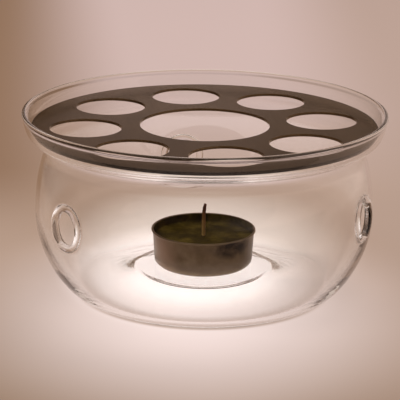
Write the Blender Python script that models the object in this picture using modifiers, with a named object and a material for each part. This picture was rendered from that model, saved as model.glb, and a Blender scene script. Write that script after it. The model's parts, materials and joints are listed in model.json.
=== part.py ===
"""Glass teapot warmer: a blown glass bowl with three vents, a loose pierced steel disc and a tealight.

Metres, +Z up. The origin is on the table, under the middle of the bowl.
"""
import math

import bmesh
import bpy
from mathutils import Matrix, Vector

MM = 0.001

# Fits
SEAT_GAP = 0.3 * MM  # between pieces that rest on or in each other

# Pierced steel disc
DISC_RADIUS = 61.9 * MM
DISC_SHEET = 1.0 * MM
CENTRE_HOLE_RADIUS = 23.25 * MM
RING_HOLE_RADIUS = 12.75 * MM
RING_HOLE_COUNT = 8
RING_OUTSET = 0.2 * MM  # how far the ring of holes lies outside the middle of the disc's band
DISC_TURN = math.radians(1.4)  # how the loose disc happens to lie against the vents

# Glass bowl
HEIGHT = 65.9 * MM
WALL = 1.4 * MM
BASE_WALL = 2.3 * MM  # at the standing ring, where the glass gathered
PLATFORM_WALL = 1.6 * MM
LIP_BEAD = 1.8 * MM  # thickness of the fire-polished lip
LIP_BLEND = 1.2 * MM  # from the lip's thickest place down to the plain wall
RIM_ROOM = 1.6 * MM  # inside of the lip to the disc's edge
SEAT_LEDGE = 5.5 * MM  # how much narrower the throat is than the disc
COLLAR_DEPTH = 15.0 * MM  # top of the lip to the throat
COLLAR_LEAN = math.radians(7.5)  # outward lean of the wall just below the lip
BELLY_RADIUS = 61.0 * MM
BELLY_HEIGHT = 29.1 * MM
FOOT_RADIUS = 44.8 * MM  # outer edge of the flat standing ring
FOOT_FLAT = 2.4 * MM  # width of that ring
PLATFORM_RADIUS = 24.6 * MM
PLATFORM_HEIGHT = 7.2 * MM

# Fullness of the bowl's curves: handle lengths at both ends, as shares of the straight distance
COLLAR_PULLS = (0.72, 0.63)
SHOULDER_PULLS = (0.10, 0.67)
LOWER_PULLS = (0.42, 0.17)
RISE_PULLS = (0.92, 0.13)

# Vents in the belly
VENT_COUNT = 3
VENT_FIRST_ANGLE = math.radians(90.0)
VENT_HEIGHT = 33.2 * MM
VENT_OPENING = 11.4 * MM  # clear diameter
VENT_BEAD = 2.8 * MM  # thickness of the bead round it

# Tealight
CUP_RADIUS = 19.0 * MM  # over the rolled rim
CUP_BASE_RADIUS = 17.7 * MM
CUP_HEIGHT = 14.0 * MM
CUP_WALL = 0.3 * MM
CUP_ROLL = 0.25 * MM  # centre-line radius of the rolled rim
CUP_CORNER = 1.4 * MM  # centre-line radius between wall and floor
CUP_FOOT_WIDTH = 3.0 * MM  # flat ring that the cup stands on
CUP_KICK = 0.6 * MM  # rise of the floor inside that ring
CUP_KICK_WIDTH = 1.2 * MM
WAX_DROP = 3.2 * MM  # wax level below the top of the cup
WAX_CLIMB = 0.5 * MM  # how far the wax climbs the cup and the wick
WAX_CLIMB_WIDTH = 3.0 * MM
WAX_BEVEL = 0.5 * MM  # least bevel round the foot of the wax
WICK_RADIUS = 0.7 * MM
WICK_TIP_RADIUS = 0.42 * MM
WICK_RISE = 12.4 * MM  # wick above the wax
WICK_LEAN = 0.7 * MM  # how far the tip leans to the side
WICK_TIP_ANGLE = math.radians(17.0)
TAB_RADIUS = 6.0 * MM
TAB_SHEET = 0.3 * MM
TAB_NECK_HEIGHT = 3.0 * MM
TAB_NECK_WALL = 0.4 * MM

# Fullness of the candle's curves
KICK_PULLS = (0.4, 0.4)
CLIMB_PULLS = (0.1, 0.6)
WICK_PULLS = (0.5, 0.2)

# Facets
TURN_STEPS = 48  # round the bowl and the disc
SMALL_STEPS = 28  # round the candle's pieces
HOLE_STEPS = 32  # round each hole in the disc's ring
VENT_STEPS = 24  # round each vent
BEAD_STEPS = 10  # round the section of a vent's bead
LIP_POINTS = 5
BLEND_POINTS = 4  # from the lip's thickest place down to the plain wall
COLLAR_POINTS = 9
SHOULDER_POINTS = 5
LOWER_POINTS = 7
RISE_POINTS = 10
SMALL_POINTS = 4  # along each small bend and fillet
WICK_POINTS = 6
SHARP_ANGLE = math.radians(35.0)  # smooth shading breaks at sharper edges
CUT_DEPTH = 4  # a cutter's depth, in thicknesses of what it cuts
WELD_DISTANCE = 0.01 * MM


def clear_scene():
    for obj in list(bpy.data.objects):
        bpy.data.objects.remove(obj, do_unlink=True)


def make_collection(name):
    collection = bpy.data.collections.new(name)
    bpy.context.scene.collection.children.link(collection)
    return collection


def make_material(name, color, roughness, metallic=0.0, transmission=0.0):
    material = bpy.data.materials.new(name)
    material.use_nodes = True
    shader = material.node_tree.nodes["Principled BSDF"]
    shader.inputs["Base Color"].default_value = (*color, 1.0)
    shader.inputs["Roughness"].default_value = roughness
    shader.inputs["Metallic"].default_value = metallic
    shader.inputs["Transmission Weight"].default_value = transmission
    return material


def bezier_run(start, start_dir, end, end_dir, pulls, count):
    """Points and headings along a curve that leaves and arrives along the given directions."""
    start = Vector(start)
    end = Vector(end)
    span = (end - start).length
    leave = start + Vector(start_dir).normalized() * span * pulls[0]
    arrive = end - Vector(end_dir).normalized() * span * pulls[1]
    run = []
    for i in range(count):
        t = i / (count - 1)
        s = 1.0 - t
        point = start * s ** 3 + leave * 3 * s * s * t + arrive * 3 * s * t * t + end * t ** 3
        heading = (leave - start) * s * s + (arrive - leave) * 2 * s * t + (end - arrive) * t * t
        run.append((point, heading.normalized()))
    return run


def arc_run(centre, radius, start_deg, end_deg, count):
    """Points and headings along an arc in the profile's plane, both ends included."""
    way = math.copysign(1.0, end_deg - start_deg)
    run = []
    for i in range(count):
        angle = math.radians(start_deg + (end_deg - start_deg) * i / (count - 1))
        spoke = Vector((math.cos(angle), math.sin(angle)))
        run.append((Vector(centre) + spoke * radius, Vector((-spoke.y, spoke.x)) * way))
    return run


def points_of(run):
    return [point for point, heading in run]


def shell_profile(line, walls, lip_count):
    """Outline of a wall whose centre line runs from its lip to the axis, rounded over the lip.

    Returns the inner side, from the axis to the lip, and the lip and outer side, from the lip to the axis.
    """
    inner = []
    outer = []
    for (point, heading), wall in zip(line, walls):
        outward = Vector((-heading.y, heading.x)) * wall / 2
        outer.append(point + outward)
        inner.append(point - outward)
    start, heading = line[0]
    inner_side_deg = math.degrees(math.atan2(heading.x, -heading.y)) + 180.0
    lip = points_of(arc_run(start, walls[0] / 2, inner_side_deg, inner_side_deg - 180.0, lip_count))
    return inner[:0:-1], lip + outer[1:]


def bowl_line():
    """Centre line of the glass from the lip to the axis, with the wall at each of its points."""
    half = WALL / 2
    base_half = BASE_WALL / 2
    down = (0.0, -1.0)
    inward = (-1.0, 0.0)
    collar_dir = Vector((-math.sin(COLLAR_LEAN), -math.cos(COLLAR_LEAN)))
    lip = Vector((DISC_RADIUS + RIM_ROOM + LIP_BEAD / 2, HEIGHT - LIP_BEAD / 2))
    throat = (DISC_RADIUS - SEAT_LEDGE + half, HEIGHT - COLLAR_DEPTH)
    belly = (BELLY_RADIUS - half, BELLY_HEIGHT)
    foot = (FOOT_RADIUS, base_half)
    foot_inside = (FOOT_RADIUS - FOOT_FLAT, base_half)
    platform = (PLATFORM_RADIUS, PLATFORM_HEIGHT - PLATFORM_WALL / 2)

    shares = [i / (BLEND_POINTS - 1) for i in range(BLEND_POINTS)]
    blend = [(lip + collar_dir * LIP_BLEND * share, collar_dir) for share in shares]
    collar = bezier_run(blend[-1][0], collar_dir, throat, down, COLLAR_PULLS, COLLAR_POINTS)
    shoulder = bezier_run(throat, down, belly, down, SHOULDER_PULLS, SHOULDER_POINTS)
    lower = bezier_run(belly, down, foot, inward, LOWER_PULLS, LOWER_POINTS)
    rise = bezier_run(foot_inside, inward, platform, inward, RISE_PULLS, RISE_POINTS)
    centre = (Vector((0.0, platform[1])), Vector(inward))
    line = blend + collar[1:] + shoulder[1:] + lower[1:] + rise + [centre]

    walls = [WALL + (LIP_BEAD - WALL) * (1.0 + math.cos(math.pi * share)) / 2 for share in shares]
    walls += [WALL] * (len(collar) + len(shoulder) - 2)
    walls += [WALL + (BASE_WALL - WALL) * i / (len(lower) - 1) for i in range(1, len(lower))]
    walls += [BASE_WALL + (PLATFORM_WALL - BASE_WALL) * i / (len(rise) - 1) for i in range(len(rise))]
    walls.append(PLATFORM_WALL)
    return line, walls


def seat_height(inner, radius):
    """Height at which the collar's inside, listed from the axis to the lip, reaches a radius."""
    for low, high in zip(reversed(inner[:-1]), reversed(inner[1:])):
        if low.x <= radius <= high.x:
            return low.y + (high.y - low.y) * (radius - low.x) / (high.x - low.x)
    raise ValueError("the collar has no seat of this radius")


def turned_object(name, profile, closed, steps, material, collection):
    """Solid of revolution about Z. The profile runs down its outer side."""
    mesh = bpy.data.meshes.new(name)
    edges = [(i, i + 1) for i in range(len(profile) - 1)]
    if closed:
        edges.append((len(profile) - 1, 0))
    mesh.from_pydata([(point[0], 0.0, point[1]) for point in profile], edges, [])
    mesh.materials.append(material)
    obj = bpy.data.objects.new(name, mesh)
    collection.objects.link(obj)
    screw = obj.modifiers.new("Turn", "SCREW")
    screw.axis = "Z"
    screw.steps = steps
    screw.render_steps = steps
    screw.use_merge_vertices = True
    screw.merge_threshold = WELD_DISTANCE
    return obj


def guide_object(name, bm, collection):
    """Mesh object that only cuts or joins other pieces."""
    mesh = bpy.data.meshes.new(name)
    bm.to_mesh(mesh)
    bm.free()
    obj = bpy.data.objects.new(name, mesh)
    obj.hide_render = True
    obj.display_type = "WIRE"
    collection.objects.link(obj)
    return obj


def add_boolean(obj, name, operation, other):
    modifier = obj.modifiers.new(name, "BOOLEAN")
    modifier.operation = operation
    modifier.solver = "EXACT"
    modifier.object = other


def bake_modifiers(obj):
    """Turn the evaluated shape into the object's own mesh, smooth with sharp edges marked."""
    evaluated = obj.evaluated_get(bpy.context.evaluated_depsgraph_get())
    mesh = bpy.data.meshes.new_from_object(evaluated)
    obj.modifiers.clear()
    obj.data = mesh
    mesh.shade_smooth()
    mesh.set_sharp_from_angle(angle=SHARP_ANGLE)


def wall_place(height):
    """Centre-line point of the glass at a height, and the lean of its outward normal above level."""
    line = points_of(bowl_line()[0])
    for high, low in zip(line, line[1:]):
        if low.y <= height <= high.y:
            share = (high.y - height) / (high.y - low.y)
            return high.lerp(low, share), math.atan2(low.x - high.x, high.y - low.y)
    raise ValueError("the bowl has no wall at this height")


def vent_ring():
    """Radius of the bead's centre line."""
    return (VENT_OPENING + VENT_BEAD) / 2


def vent_frames():
    """Placement of each vent: local Z points out of the bowl, square to the wall."""
    point, lean = wall_place(VENT_HEIGHT)
    fall = point.x - math.sqrt(point.x ** 2 - vent_ring() ** 2)  # of the round wall, out to the bead
    out = Matrix.Translation((point.x - fall / 2, 0.0, point.y)) @ Matrix.Rotation(math.pi / 2 - lean, 4, "Y")
    for i in range(VENT_COUNT):
        yield Matrix.Rotation(VENT_FIRST_ANGLE + math.tau * i / VENT_COUNT, 4, "Z") @ out


def vent_cutters(collection):
    bm = bmesh.new()
    depth = CUT_DEPTH * (WALL + VENT_BEAD)
    for frame in vent_frames():
        bmesh.ops.create_cone(bm, cap_ends=True, segments=VENT_STEPS, radius1=vent_ring(),
                              radius2=vent_ring(), depth=depth, matrix=frame)
    return guide_object("vent_cutters", bm, collection)


def vent_beads(collection):
    """The thick fire-polished rings round the vents, joined into the wall afterwards."""
    bm = bmesh.new()
    for frame in vent_frames():
        bpy.ops.mesh.primitive_torus_add(location=(0.0, 0.0, 0.0), major_radius=vent_ring(),
                                         minor_radius=VENT_BEAD / 2, major_segments=VENT_STEPS,
                                         minor_segments=BEAD_STEPS)
        torus = bpy.context.object
        torus.data.transform(frame)
        bm.from_mesh(torus.data)
        bpy.data.objects.remove(torus, do_unlink=True)
    return guide_object("vent_beads", bm, collection)


def build_bowl(parts, guides):
    material = make_material("clear_glass", (0.96, 0.95, 0.93), 0.02, transmission=1.0)
    inner, outer = shell_profile(*bowl_line(), LIP_POINTS)
    bowl = turned_object("glass_bowl", inner + outer, False, TURN_STEPS, material, parts)
    add_boolean(bowl, "Vents", "DIFFERENCE", vent_cutters(guides))
    add_boolean(bowl, "Beads", "UNION", vent_beads(guides))
    bake_modifiers(bowl)
    return inner


def disc_profile():
    """Section of the flat sheet from the centre hole to the rim. Height 0 is its underside."""
    return [(CENTRE_HOLE_RADIUS, DISC_SHEET), (DISC_RADIUS, DISC_SHEET), (DISC_RADIUS, 0.0),
            (CENTRE_HOLE_RADIUS, 0.0)]


def ring_hole_cutters(collection):
    bm = bmesh.new()
    ring = (CENTRE_HOLE_RADIUS + DISC_RADIUS) / 2 + RING_OUTSET
    depth = CUT_DEPTH * DISC_SHEET
    for i in range(RING_HOLE_COUNT):
        turn = Matrix.Rotation(DISC_TURN + math.tau * i / RING_HOLE_COUNT, 4, "Z")
        place = turn @ Matrix.Translation((ring, 0.0, 0.0))
        bmesh.ops.create_cone(bm, cap_ends=True, segments=HOLE_STEPS, radius1=RING_HOLE_RADIUS,
                              radius2=RING_HOLE_RADIUS, depth=depth, matrix=place)
    return guide_object("ring_hole_cutters", bm, collection)


def build_disc(parts, guides, bowl_inside):
    material = make_material("dark_steel", (0.10, 0.075, 0.06), 0.38, metallic=1.0)
    disc = turned_object("perforated_disc", disc_profile(), True, TURN_STEPS, material, parts)
    add_boolean(disc, "Ring of holes", "DIFFERENCE", ring_hole_cutters(guides))
    bake_modifiers(disc)
    disc.location.z = seat_height(bowl_inside, DISC_RADIUS + SEAT_GAP)


def cup_line():
    """Centre line of the cup's sheet from its rolled rim to the axis."""
    half = CUP_WALL / 2
    inward = (-1.0, 0.0)
    roll = (CUP_RADIUS - half - CUP_ROLL, CUP_HEIGHT - half - CUP_ROLL)
    corner = (CUP_BASE_RADIUS - half - CUP_CORNER, half + CUP_CORNER)
    kick_start = (corner[0] - CUP_FOOT_WIDTH, half)
    kick_end = (kick_start[0] - CUP_KICK_WIDTH, half + CUP_KICK)
    line = arc_run(roll, CUP_ROLL, 0.0, 180.0, SMALL_POINTS + 1)
    line += arc_run(corner, CUP_CORNER, 0.0, -90.0, SMALL_POINTS)
    line += bezier_run(kick_start, inward, kick_end, inward, KICK_PULLS, SMALL_POINTS)
    line.append((Vector((0.0, kick_end[1])), Vector(inward)))
    return line


def cup_inside_radius(height):
    """Inner radius of the straight tapered wall at a height above the cup's foot."""
    top_height = CUP_HEIGHT - CUP_WALL / 2 - CUP_ROLL
    top_radius = CUP_RADIUS - 2 * CUP_ROLL - CUP_WALL
    low_height = CUP_WALL / 2 + CUP_CORNER
    low_radius = CUP_BASE_RADIUS - CUP_WALL
    return low_radius + (top_radius - low_radius) * (height - low_height) / (top_height - low_height)


def candle_floor():
    """Height above the cup's foot at which the wax, the wick and its tab stand."""
    return CUP_WALL + CUP_KICK + SEAT_GAP


def wax_level():
    return CUP_HEIGHT - WAX_DROP


def build_cup(parts, base):
    material = make_material("aluminium_foil", (0.45, 0.38, 0.32), 0.35, metallic=1.0)
    line = cup_line()
    inner, outer = shell_profile(line, [CUP_WALL] * len(line), SMALL_POINTS)
    cup = turned_object("tealight_cup", inner + outer, False, SMALL_STEPS, material, parts)
    bake_modifiers(cup)
    cup.parent = base


def build_tab(parts, base):
    """Wick sustainer: a small tin plate with a neck that grips the wick."""
    material = make_material("tinned_steel", (0.55, 0.53, 0.50), 0.35, metallic=1.0)
    floor = candle_floor()
    bore = WICK_RADIUS + SEAT_GAP
    neck = bore + TAB_NECK_WALL
    profile = [(bore, floor + TAB_NECK_HEIGHT), (neck, floor + TAB_NECK_HEIGHT), (neck, floor + TAB_SHEET),
               (TAB_RADIUS, floor + TAB_SHEET), (TAB_RADIUS, floor), (bore, floor)]
    tab = turned_object("wick_sustainer", profile, True, SMALL_STEPS, material, parts)
    bake_modifiers(tab)
    tab.parent = base


def build_wax(parts, base):
    """Wax that climbs a little at the wick and at the cup, hollowed underneath for the wick's tab."""
    material = make_material("olive_wax", (0.10, 0.075, 0.025), 0.45)
    floor = candle_floor()
    level = wax_level()
    crest = level + WAX_CLIMB
    bore = WICK_RADIUS + SEAT_GAP
    edge = cup_inside_radius(crest) - SEAT_GAP
    low = max(CUP_WALL / 2 + CUP_CORNER, floor + WAX_BEVEL)
    low_edge = cup_inside_radius(low) - SEAT_GAP
    tab_bore = TAB_RADIUS + SEAT_GAP
    tab_roof = floor + TAB_SHEET + SEAT_GAP
    neck_bore = bore + TAB_NECK_WALL + SEAT_GAP
    neck_roof = floor + TAB_NECK_HEIGHT + SEAT_GAP

    at_wick = bezier_run((bore, crest), (1.0, -1.0), (bore + WAX_CLIMB_WIDTH, level), (1.0, 0.0),
                         CLIMB_PULLS, SMALL_POINTS)
    at_cup = bezier_run((edge - WAX_CLIMB_WIDTH, level), (1.0, 0.0), (edge, crest), (1.0, 1.0),
                        CLIMB_PULLS[::-1], SMALL_POINTS)
    profile = points_of(at_wick + at_cup)
    profile += [(low_edge, low), (low_edge - (low - floor), floor), (tab_bore, floor), (tab_bore, tab_roof),
                (neck_bore, tab_roof), (neck_bore, neck_roof), (bore, neck_roof)]
    wax = turned_object("candle_wax", profile, True, SMALL_STEPS, material, parts)
    bake_modifiers(wax)
    wax.parent = base


def build_wick(parts, base):
    """Cotton wick, straight in the wax and leaning a little above it, with a blunt tapered tip."""
    material = make_material("waxed_cotton", (0.30, 0.18, 0.07), 0.8)
    leave = (0.0, wax_level() + WAX_CLIMB)
    tip = (WICK_LEAN, wax_level() + WICK_RISE)
    tip_dir = (math.sin(WICK_TIP_ANGLE), math.cos(WICK_TIP_ANGLE))
    path = [Vector((0.0, candle_floor()))]
    path += points_of(bezier_run(leave, (0.0, 1.0), tip, tip_dir, WICK_PULLS, WICK_POINTS))
    curve = bpy.data.curves.new("wick", "CURVE")
    curve.dimensions = "3D"
    curve.bevel_depth = WICK_RADIUS
    curve.bevel_resolution = 2
    curve.use_fill_caps = True
    spline = curve.splines.new("POLY")
    spline.points.add(len(path) - 1)
    for point, place in zip(spline.points, path):
        point.co = (place.x, 0.0, place.y, 1.0)
    spline.points[-1].radius = WICK_TIP_RADIUS / WICK_RADIUS
    curve.materials.append(material)
    wick = bpy.data.objects.new("wick", curve)
    parts.objects.link(wick)
    wick.parent = base


def build_tealight(parts):
    base = bpy.data.objects.new("tealight_base", None)
    base.location.z = PLATFORM_HEIGHT + SEAT_GAP
    parts.objects.link(base)
    build_cup(parts, base)
    build_tab(parts, base)
    build_wax(parts, base)
    build_wick(parts, base)


def main():
    clear_scene()
    parts = make_collection("glass_teapot_warmer")
    guides = make_collection("guides")
    bowl_inside = build_bowl(parts, guides)
    build_disc(parts, guides, bowl_inside)
    build_tealight(parts)


main()
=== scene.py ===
"""Looks of a glass teapot warmer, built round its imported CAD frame.

Metres, +Z up, in the frame's own axes. Outer sizes and the places of holes are read from the frame.
"""
import bisect
import json
import math

import bmesh
import bpy
from mathutils import Matrix, Vector, noise


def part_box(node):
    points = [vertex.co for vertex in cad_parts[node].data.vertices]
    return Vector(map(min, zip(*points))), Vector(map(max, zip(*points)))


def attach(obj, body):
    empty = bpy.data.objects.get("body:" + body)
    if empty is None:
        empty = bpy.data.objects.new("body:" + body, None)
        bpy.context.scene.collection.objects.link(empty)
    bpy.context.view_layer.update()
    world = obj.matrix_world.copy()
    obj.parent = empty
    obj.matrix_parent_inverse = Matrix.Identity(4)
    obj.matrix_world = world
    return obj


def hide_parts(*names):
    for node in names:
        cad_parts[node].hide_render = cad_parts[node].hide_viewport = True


MM = 0.001
ON_AXIS = 1e-7  # a smaller radius counts as none

# Camera, measured from the bowl's axis and from the table
CAMERA_AZIMUTH = math.radians(-8.5)
CAMERA_DISTANCE = 623.7 * MM
CAMERA_HEIGHT = 222.2 * MM
CAMERA_PITCH = math.radians(16.95)
CAMERA_YAW = math.radians(-0.13)
CAMERA_ROLL = math.radians(0.7)
CAMERA_LENS = 162.0
CAMERA_SENSOR = 36.0
CAMERA_CLIP = 0.01

# Glass bowl: what the frame's box doesn't give
WALL = 1.4 * MM
BASE_WALL = 2.3 * MM  # at the standing ring
PLATFORM_WALL = 1.6 * MM
LIP_BEAD = 1.8 * MM  # thickness of the rounded lip
LIP_BLEND = 1.2 * MM  # from the bead's widest point down to the wall
THROAT_RADIUS = 56.4 * MM  # inside
COLLAR_DEPTH = 15.0 * MM
COLLAR_LEAN = math.radians(7.5)
BELLY_RADIUS = 61.0 * MM
BELLY_HEIGHT = 29.1 * MM
FOOT_RADIUS = 44.8 * MM
FOOT_FLAT = 2.4 * MM
PLATFORM_RADIUS = 24.6 * MM
PLATFORM_HEIGHT = 7.2 * MM
COLLAR_PULLS = (0.72, 0.63)
SHOULDER_PULLS = (0.10, 0.67)
LOWER_PULLS = (0.42, 0.17)
RISE_PULLS = (0.92, 0.13)
RUN_POINTS = 60  # along each curve of the centre line
BOWL_COLUMNS = 264
BOWL_ROW = 1.0 * MM
LIP_STEPS = 10
SWELL_THREE = 0.07 * MM  # height of the three waves round the blown wall
SWELL_FIVE = 0.05 * MM  # and of the five
SWELL_TWIST = 18.0 * MM  # height over which the three waves turn by a radian
SWELL_SHIFT = 1.0  # radians that the five waves are turned by
SWELL_CORE = 20.0 * MM  # the waves fade inside this radius
GLASS_TURNS = 28  # bounces after which trapped light is let out

# Vents
VENT_OPENING = 11.4 * MM
VENT_BEAD = 2.8 * MM
VENT_FILLET = 0.4 * MM  # between the bead and the wall
VENT_WINDOW_COLUMNS = 9  # each way from the vent's middle
VENT_WINDOW_HEIGHT = 12.0 * MM
VENT_ROUND_STEPS = 18
VENT_FILLET_STEPS = 4
VENT_SPREAD_STEPS = 5

# Disc
DISC_SHEET = 1.0 * MM
CENTRE_HOLE_RADIUS = 23.25 * MM
RING_HOLE_RADIUS = 12.75 * MM
DISC_STEPS = 192
HOLE_STEPS = 72
HOLE_BREAK = 0.12 * MM  # broken edges of the pierced holes
DISC_CREASE = math.radians(28.0)  # sharper edges stay sharp
DISC_EDGE_SHADE = (0.8 * MM, 0.2 * MM)  # inside the rim, where the painted shade of the cut edge starts and is full
DISC_EDGE_SHADE_SHARE = 0.85

# Tealight
CUP_RADIUS = 19.0 * MM
CUP_BASE_RADIUS = 17.7 * MM
CUP_SHEET = 0.3 * MM
CUP_ROLL = 0.25 * MM
CUP_CORNER = 1.4 * MM
CUP_FOOT_WIDTH = 3.0 * MM
CUP_KICK = 0.6 * MM
CUP_KICK_WIDTH = 1.2 * MM
CUP_STEPS = 160
CUP_WALL_STEPS = 12
DENT_DEPTH = 0.1 * MM
DENT_HEIGHT = 14.0 * MM
DENT_PACE = 2.2  # noise steps over the cup's radius
RIPPLE_DEPTH = 0.012 * MM
RIPPLES = 38  # round the cup
RIPPLE_SWAY = 3.0  # radians that a full dent shifts the ripples by
# a darker patch near the top of the cup's front right
DARK_PATCH_PLACE = (8.3 * MM, -17.1 * MM, 19.0 * MM)
DARK_PATCH_FADE = (9.0 * MM, 3.0 * MM)  # none at the first distance, full at the second
# painted sheen on the cup's left side
SHEEN_PLACE = (-17.5 * MM, -7.0 * MM, 14.0 * MM)
SHEEN_FADE = (12.0 * MM, 2.0 * MM)
FOOT_LIGHT_FADE = (8.0 * MM, 1.0 * MM)  # painted light from the floor, above the cup's foot
FOOT_LIGHT_SHARE = 0.35
RIM_HIGHLIGHT_FADE = (0.5 * MM, 0.3 * MM)  # painted highlight, below the cup's edge
RIM_HIGHLIGHT_SHARE = 0.6
WAX_CLIMB = 0.5 * MM  # at the cup and at the wick
WAX_CLIMB_WIDTH = 3.0 * MM
WAX_CLIMB_PULLS = (0.1, 0.6)
WAX_CLIMB_STEPS = 12
WAX_FLAT_STEPS = 14
WAX_SIDE_STEPS = 8
WAX_NECK = 0.1 * MM  # the climb at the wick ends this much higher
WAX_CORE = 0.6  # share of the wick's radius where that climb starts
WAX_GAP = 0.3 * MM  # to the cup's wall at the base
WAX_BEVEL = 0.6 * MM
WAX_SKIN = 1.0 * MM  # depth of the uneven skin
WAX_WAVES = ((5.0 * MM, 0.12 * MM), (1.6 * MM, 0.05 * MM))  # width and height of its waves
WICK_RADIUS = 0.7 * MM
WICK_TURN = 5.0 * MM  # length of one turn of the twisted strands
WICK_STRANDS = 3
WICK_LOBE = 0.2  # depth of the grooves, as a share of the radius
WICK_SIDES = 36
WICK_ROOT_STEPS = 8  # in the wax
WICK_STEPS = 60  # above the wax
WICK_PULLS = (0.5, 0.2)
WICK_TIP_INSET = (0.5 * MM, 0.1 * MM)  # across and down from the corner of the wick's box
WICK_TIP_HEADING = (0.3, 1.0)
WICK_TIP_SHARE = 0.55  # of the radius
WICK_TAPER = 2.0 * MM  # length of the thinning end
WICK_BROWNED = 13.0 * MM  # length that browns towards the tip
FIBRE_SHARE = 0.3  # of the browning

# Floor, in its own axes: x to the right and y away from the camera
FLOOR_DROP = 0.2 * MM
FLOOR_MIDDLE = 0.05
FLOOR_RADIUS = 1.0
FLOOR_STEPS = 96
SWEEP_RADIUS = 0.6
SWEEP_TOP = 1.8
FLOOR_MATTE = 0.25  # share of the seen floor that takes shadows

# Tones of the floor as screen colours; each fade is none at its first place and full at its second
# painted light and shade: the open floor darkens towards the front
FIELD_SPAN = (-0.12, 0.4)  # along y
FIELD_TONES = [(0.0, (158, 131, 110)), (0.23, (187, 160, 142)), (0.46, (194, 167, 150)),
               (0.73, (213, 189, 183)), (1.0, (214, 189, 183))]
# painted shade on the left of the floor
LEFT_SLANT = (1.0, 0.1, 0.0)  # square to the left side's edge
LEFT_FADE = (0.0, -0.085)
LEFT_START = (0.02, 0.16)  # along y
LEFT_TONE = (152, 121, 98)
# painted shade on the right of the floor
RIGHT_FADE = (0.03, 0.11)
RIGHT_SHARE = 0.8
RIGHT_TONE = (187, 161, 147)
# painted shade: darker low down far to the left, where the camera sees the pale outskirts instead
FAR_LEFT_FADE = (-0.16, -0.3)
FAR_LEFT_DROP = (0.2, 0.02)  # along z
FAR_LEFT_TONE = (110, 84, 68)
# painted light: paler far to the right
FAR_RIGHT_FADE = (0.2, 0.5)
FAR_RIGHT_TONE = (232, 206, 192)
FRONT_FADE = (-0.15, -0.4)  # along y
OUTSKIRTS_TONE = (212, 187, 178)
FOOT_SHADE_INSIDE = (0.038, 0.0445)
FOOT_SHADE_OUTSIDE = (0.048, 0.0455)
FOOT_SHADE_SPAN = (-0.035, 0.005)  # along y
FOOT_SHADE_SHARES = (0.8, 0.1)  # at the two ends of the span
FOOT_SHADE_TONE = (190, 163, 146)
# painted darkness on the walls, seen only through the glass or in mirrors
SIDE_WALL_RISE = (0.05, 0.3)  # along z
SIDE_WALL_END = (1.3, 0.9)  # along y
SIDE_WALL_TONE = (80, 60, 52)
BACK_WALL_RISE = (0.4, 0.62)  # along z
BACK_WALL_START = (0.9, 1.3)  # along y
BACK_WALL_TONE = (100, 82, 70)

# Light on the floor under the bowl: centre, scale of each axis, fade, share and colour
LIGHT_POOLS = [
    ((-0.002, -0.03, 0.0), (0.91, 0.72, 1.0), (0.09, 0.0), 1.0, (1.12, 0.94, 0.9)),
    ((0.0, 0.045, 0.0), (1.0, 0.7, 1.0), (0.066, 0.02), 0.7, (1.1, 0.96, 0.88)),
    ((-0.006, 0.012, 0.0), (1.0, 0.8, 1.0), (0.05, 0.02), 1.0, (1.7, 1.52, 1.48)),
]

# Cards: distances are measured from the bowl's axis towards the camera
CARD_WIDTH = 2.2
CARD_HEIGHT = 1.5
CARD_FRONT = 0.07
CARD_BACK = 1.0
CARD_LIFT = 1.0 * MM
CARD_CELLS = 8

# Light
ROOM_COLOR = (0.16, 0.135, 0.12, 1.0)
PALE_COLOR = (0.62, 0.52, 0.45, 1.0)
LAMP_COLOR = (1.0, 0.93, 0.87)
LAMP_TARGET = (0.0, 0.0, 0.03)
LIGHT_BOUNCES = 32  # light passes the glass wall many times


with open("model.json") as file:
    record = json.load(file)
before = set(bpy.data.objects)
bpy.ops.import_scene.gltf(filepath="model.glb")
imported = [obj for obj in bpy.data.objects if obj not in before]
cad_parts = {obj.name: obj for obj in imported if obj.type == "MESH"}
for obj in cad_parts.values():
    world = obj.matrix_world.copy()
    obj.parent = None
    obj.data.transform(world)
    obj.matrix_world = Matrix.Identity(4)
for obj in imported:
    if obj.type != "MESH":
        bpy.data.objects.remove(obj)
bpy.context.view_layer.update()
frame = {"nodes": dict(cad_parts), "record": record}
OPENINGS = {o["name"]: o["box_m"] for o in frame["record"]["physics"]["openings"]}


def opening_middle(name):
    low, high = OPENINGS[name]
    return (Vector(low) + Vector(high)) / 2


# Curves and turned meshes

def bezier_run(start, start_dir, end, end_dir, pulls, count):
    """Points and headings along a curve that leaves and arrives along the given directions."""
    start = Vector(start)
    end = Vector(end)
    span = (end - start).length
    leave = start + Vector(start_dir).normalized() * span * pulls[0]
    arrive = end - Vector(end_dir).normalized() * span * pulls[1]
    run = []
    for i in range(count):
        t = i / (count - 1)
        s = 1.0 - t
        point = start * s ** 3 + leave * 3 * s * s * t + arrive * 3 * s * t * t + end * t ** 3
        heading = (leave - start) * s * s + (arrive - leave) * 2 * s * t + (end - arrive) * t * t
        run.append((point, heading.normalized()))
    return run


def arc_points(centre, radius, start_deg, end_deg, count):
    points = []
    for i in range(count):
        angle = math.radians(start_deg + (end_deg - start_deg) * i / (count - 1))
        points.append(Vector(centre) + Vector((math.cos(angle), math.sin(angle))) * radius)
    return points


def line_points(start, end, count):
    """Points between two ends, both included."""
    return [Vector(start).lerp(Vector(end), i / (count - 1)) for i in range(count)]


def mesh_piece(name, bm, material):
    """Smooth object in the scene, made from a bmesh."""
    bmesh.ops.recalc_face_normals(bm, faces=bm.faces)
    mesh = bpy.data.meshes.new(name)
    bm.to_mesh(mesh)
    bm.free()
    mesh.materials.append(material)
    mesh.shade_smooth()
    piece = bpy.data.objects.new(name, mesh)
    bpy.context.scene.collection.objects.link(piece)
    return piece


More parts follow.
